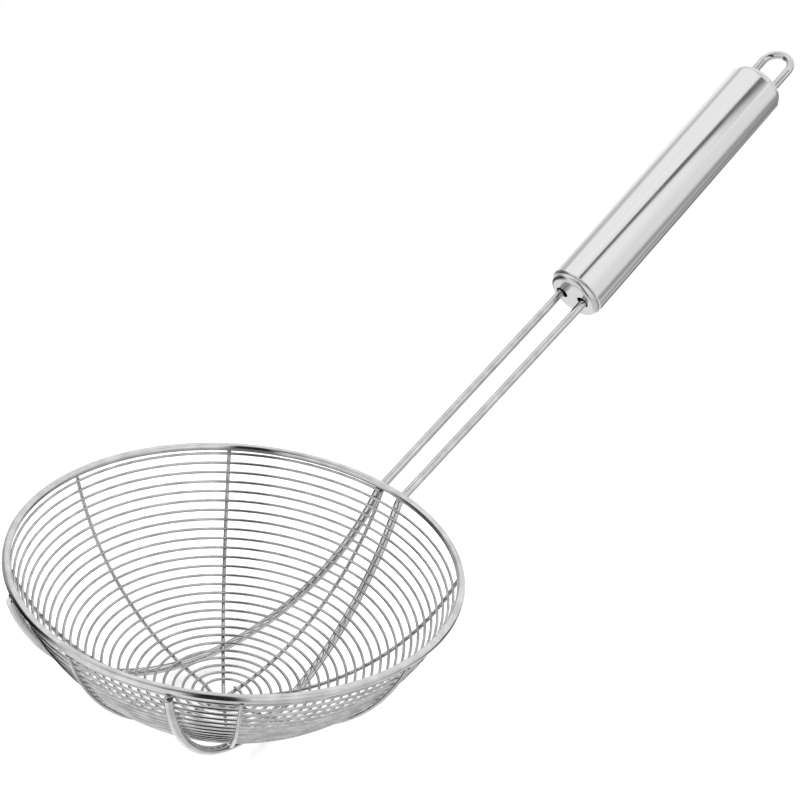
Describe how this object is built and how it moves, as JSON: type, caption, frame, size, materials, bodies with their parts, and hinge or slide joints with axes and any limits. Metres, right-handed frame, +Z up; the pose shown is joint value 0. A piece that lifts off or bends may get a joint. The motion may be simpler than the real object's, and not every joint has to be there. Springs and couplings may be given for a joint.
{
  "type": "spider skimmer",
  "caption": "Wire skimmer: a round spiral mesh bowl on a hairpin wire frame with a tube grip and a hang loop.",
  "frame": {"origin": "centre of the rim hoop, in the plane of its centre line", "axes": "+Z up the bowl's axis out of its mouth, +X out along the handle"},
  "size_m": [0.3304, 0.14, 0.1608],
  "materials": {
    "wire": "polished stainless steel wire",
    "tube": "polished stainless steel tube with a faint grain",
    "cap": "pressed stainless steel"
  },
  "bodies": {
    "root": {"rim_hoop": "wire", "mesh_spiral": "wire", "rib_1": "wire", "rib_2": "wire", "rib_3": "wire", "rib_4": "wire", "frame_wire": "wire", "grip_tube": "tube", "front_cap": "cap", "rear_cap": "cap"}
  },
  "joints": []
}
